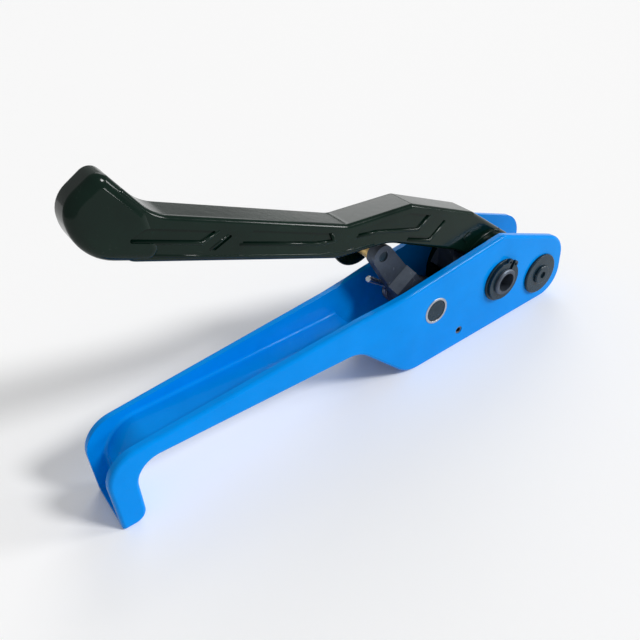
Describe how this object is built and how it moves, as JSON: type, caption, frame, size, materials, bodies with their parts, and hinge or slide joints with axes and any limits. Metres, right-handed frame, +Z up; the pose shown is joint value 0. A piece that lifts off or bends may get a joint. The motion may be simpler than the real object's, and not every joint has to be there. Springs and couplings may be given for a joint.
{
  "type": "strapping tensioner tool",
  "caption": "Hand strapping tensioner: pressed channel body with hook foot, slotted windlass on ratchet wheels, cranked lever, drive and holding pawls, and a thumb release.",
  "frame": {"origin": "middle of the tool's length and width, on the surface it rests on", "axes": "+X towards the nose of the tool, +Y to its far side (thumb release side), +Z up from the flat underside of the head"},
  "size_m": [0.3008, 0.049, 0.1657],
  "materials": {
    "blue_paint": "smooth semi-gloss blue coating",
    "black_gloss_paint": "gloss black coating over a casting",
    "dark_steel": "dark phosphated forging",
    "black_oxide": "black oxide",
    "bright_steel": "turned bright steel",
    "zinc": "bright zinc plate",
    "spring_steel": "oiled spring steel",
    "bronze": "sintered bronze",
    "brass": "turned brass"
  },
  "bodies": {
    "body": {"channel_body": "blue_paint", "windlass_bushes": "bronze", "pawl_pin": "black_oxide", "pawl_pin_rings": "bright_steel", "pawl_spring": "spring_steel", "roller_axle": "bright_steel", "nose_washers": "black_oxide", "nose_screws": "black_oxide", "roll_pin": "spring_steel", "thrust_washers": "black_oxide"},
    "windlass": {"windlass_shaft": "dark_steel", "wheel_keys": "bright_steel", "near_ratchet_wheel": "dark_steel", "far_ratchet_wheel": "dark_steel", "circlips": "black_oxide"},
    "lever_body": {"lever": "black_gloss_paint", "lever_bushes": "bronze", "drive_pawl_pin": "bright_steel"},
    "drive_pawl_body": {"drive_pawl": "dark_steel"},
    "holding_pawl_body": {"holding_pawl": "dark_steel", "stop_pin": "zinc", "release_screw": "black_oxide", "brass_washer": "brass", "release_spacer": "brass", "thumb_disc": "black_gloss_paint"},
    "roller_body": {"guide_roller": "bright_steel"}
  },
  "joints": [
    {"name": "lever_swing", "type": "hinge", "parent": "body", "child": "lever_body", "pos_m": [0.094, 0, 0.0315], "axis": [0, 1, 0], "range_deg": [0, 90]},
    {"name": "windlass_spin", "type": "hinge", "parent": "body", "child": "windlass", "pos_m": [0.094, 0, 0.0315], "axis": [0, 1, 0], "continuous": true},
    {"name": "drive_pawl_lift", "type": "hinge", "parent": "lever_body", "child": "drive_pawl_body", "pos_m": [0.07494, 0, 0.06322], "axis": [0, 1, 0], "range_deg": [-8, 4], "stiffness_Nm_per_rad": 0.02, "springref_deg": -28.65},
    {"name": "holding_pawl_release", "type": "hinge", "parent": "body", "child": "holding_pawl_body", "pos_m": [0.0424, 0, 0.0344], "axis": [0, 1, 0], "range_deg": [0, 6], "stiffness_Nm_per_rad": 0.2, "springref_deg": -34.38},
    {"name": "roller_spin", "type": "hinge", "parent": "body", "child": "roller_body", "pos_m": [0.1295, 0, 0.01985], "axis": [0, 1, 0], "continuous": true}
  ]
}
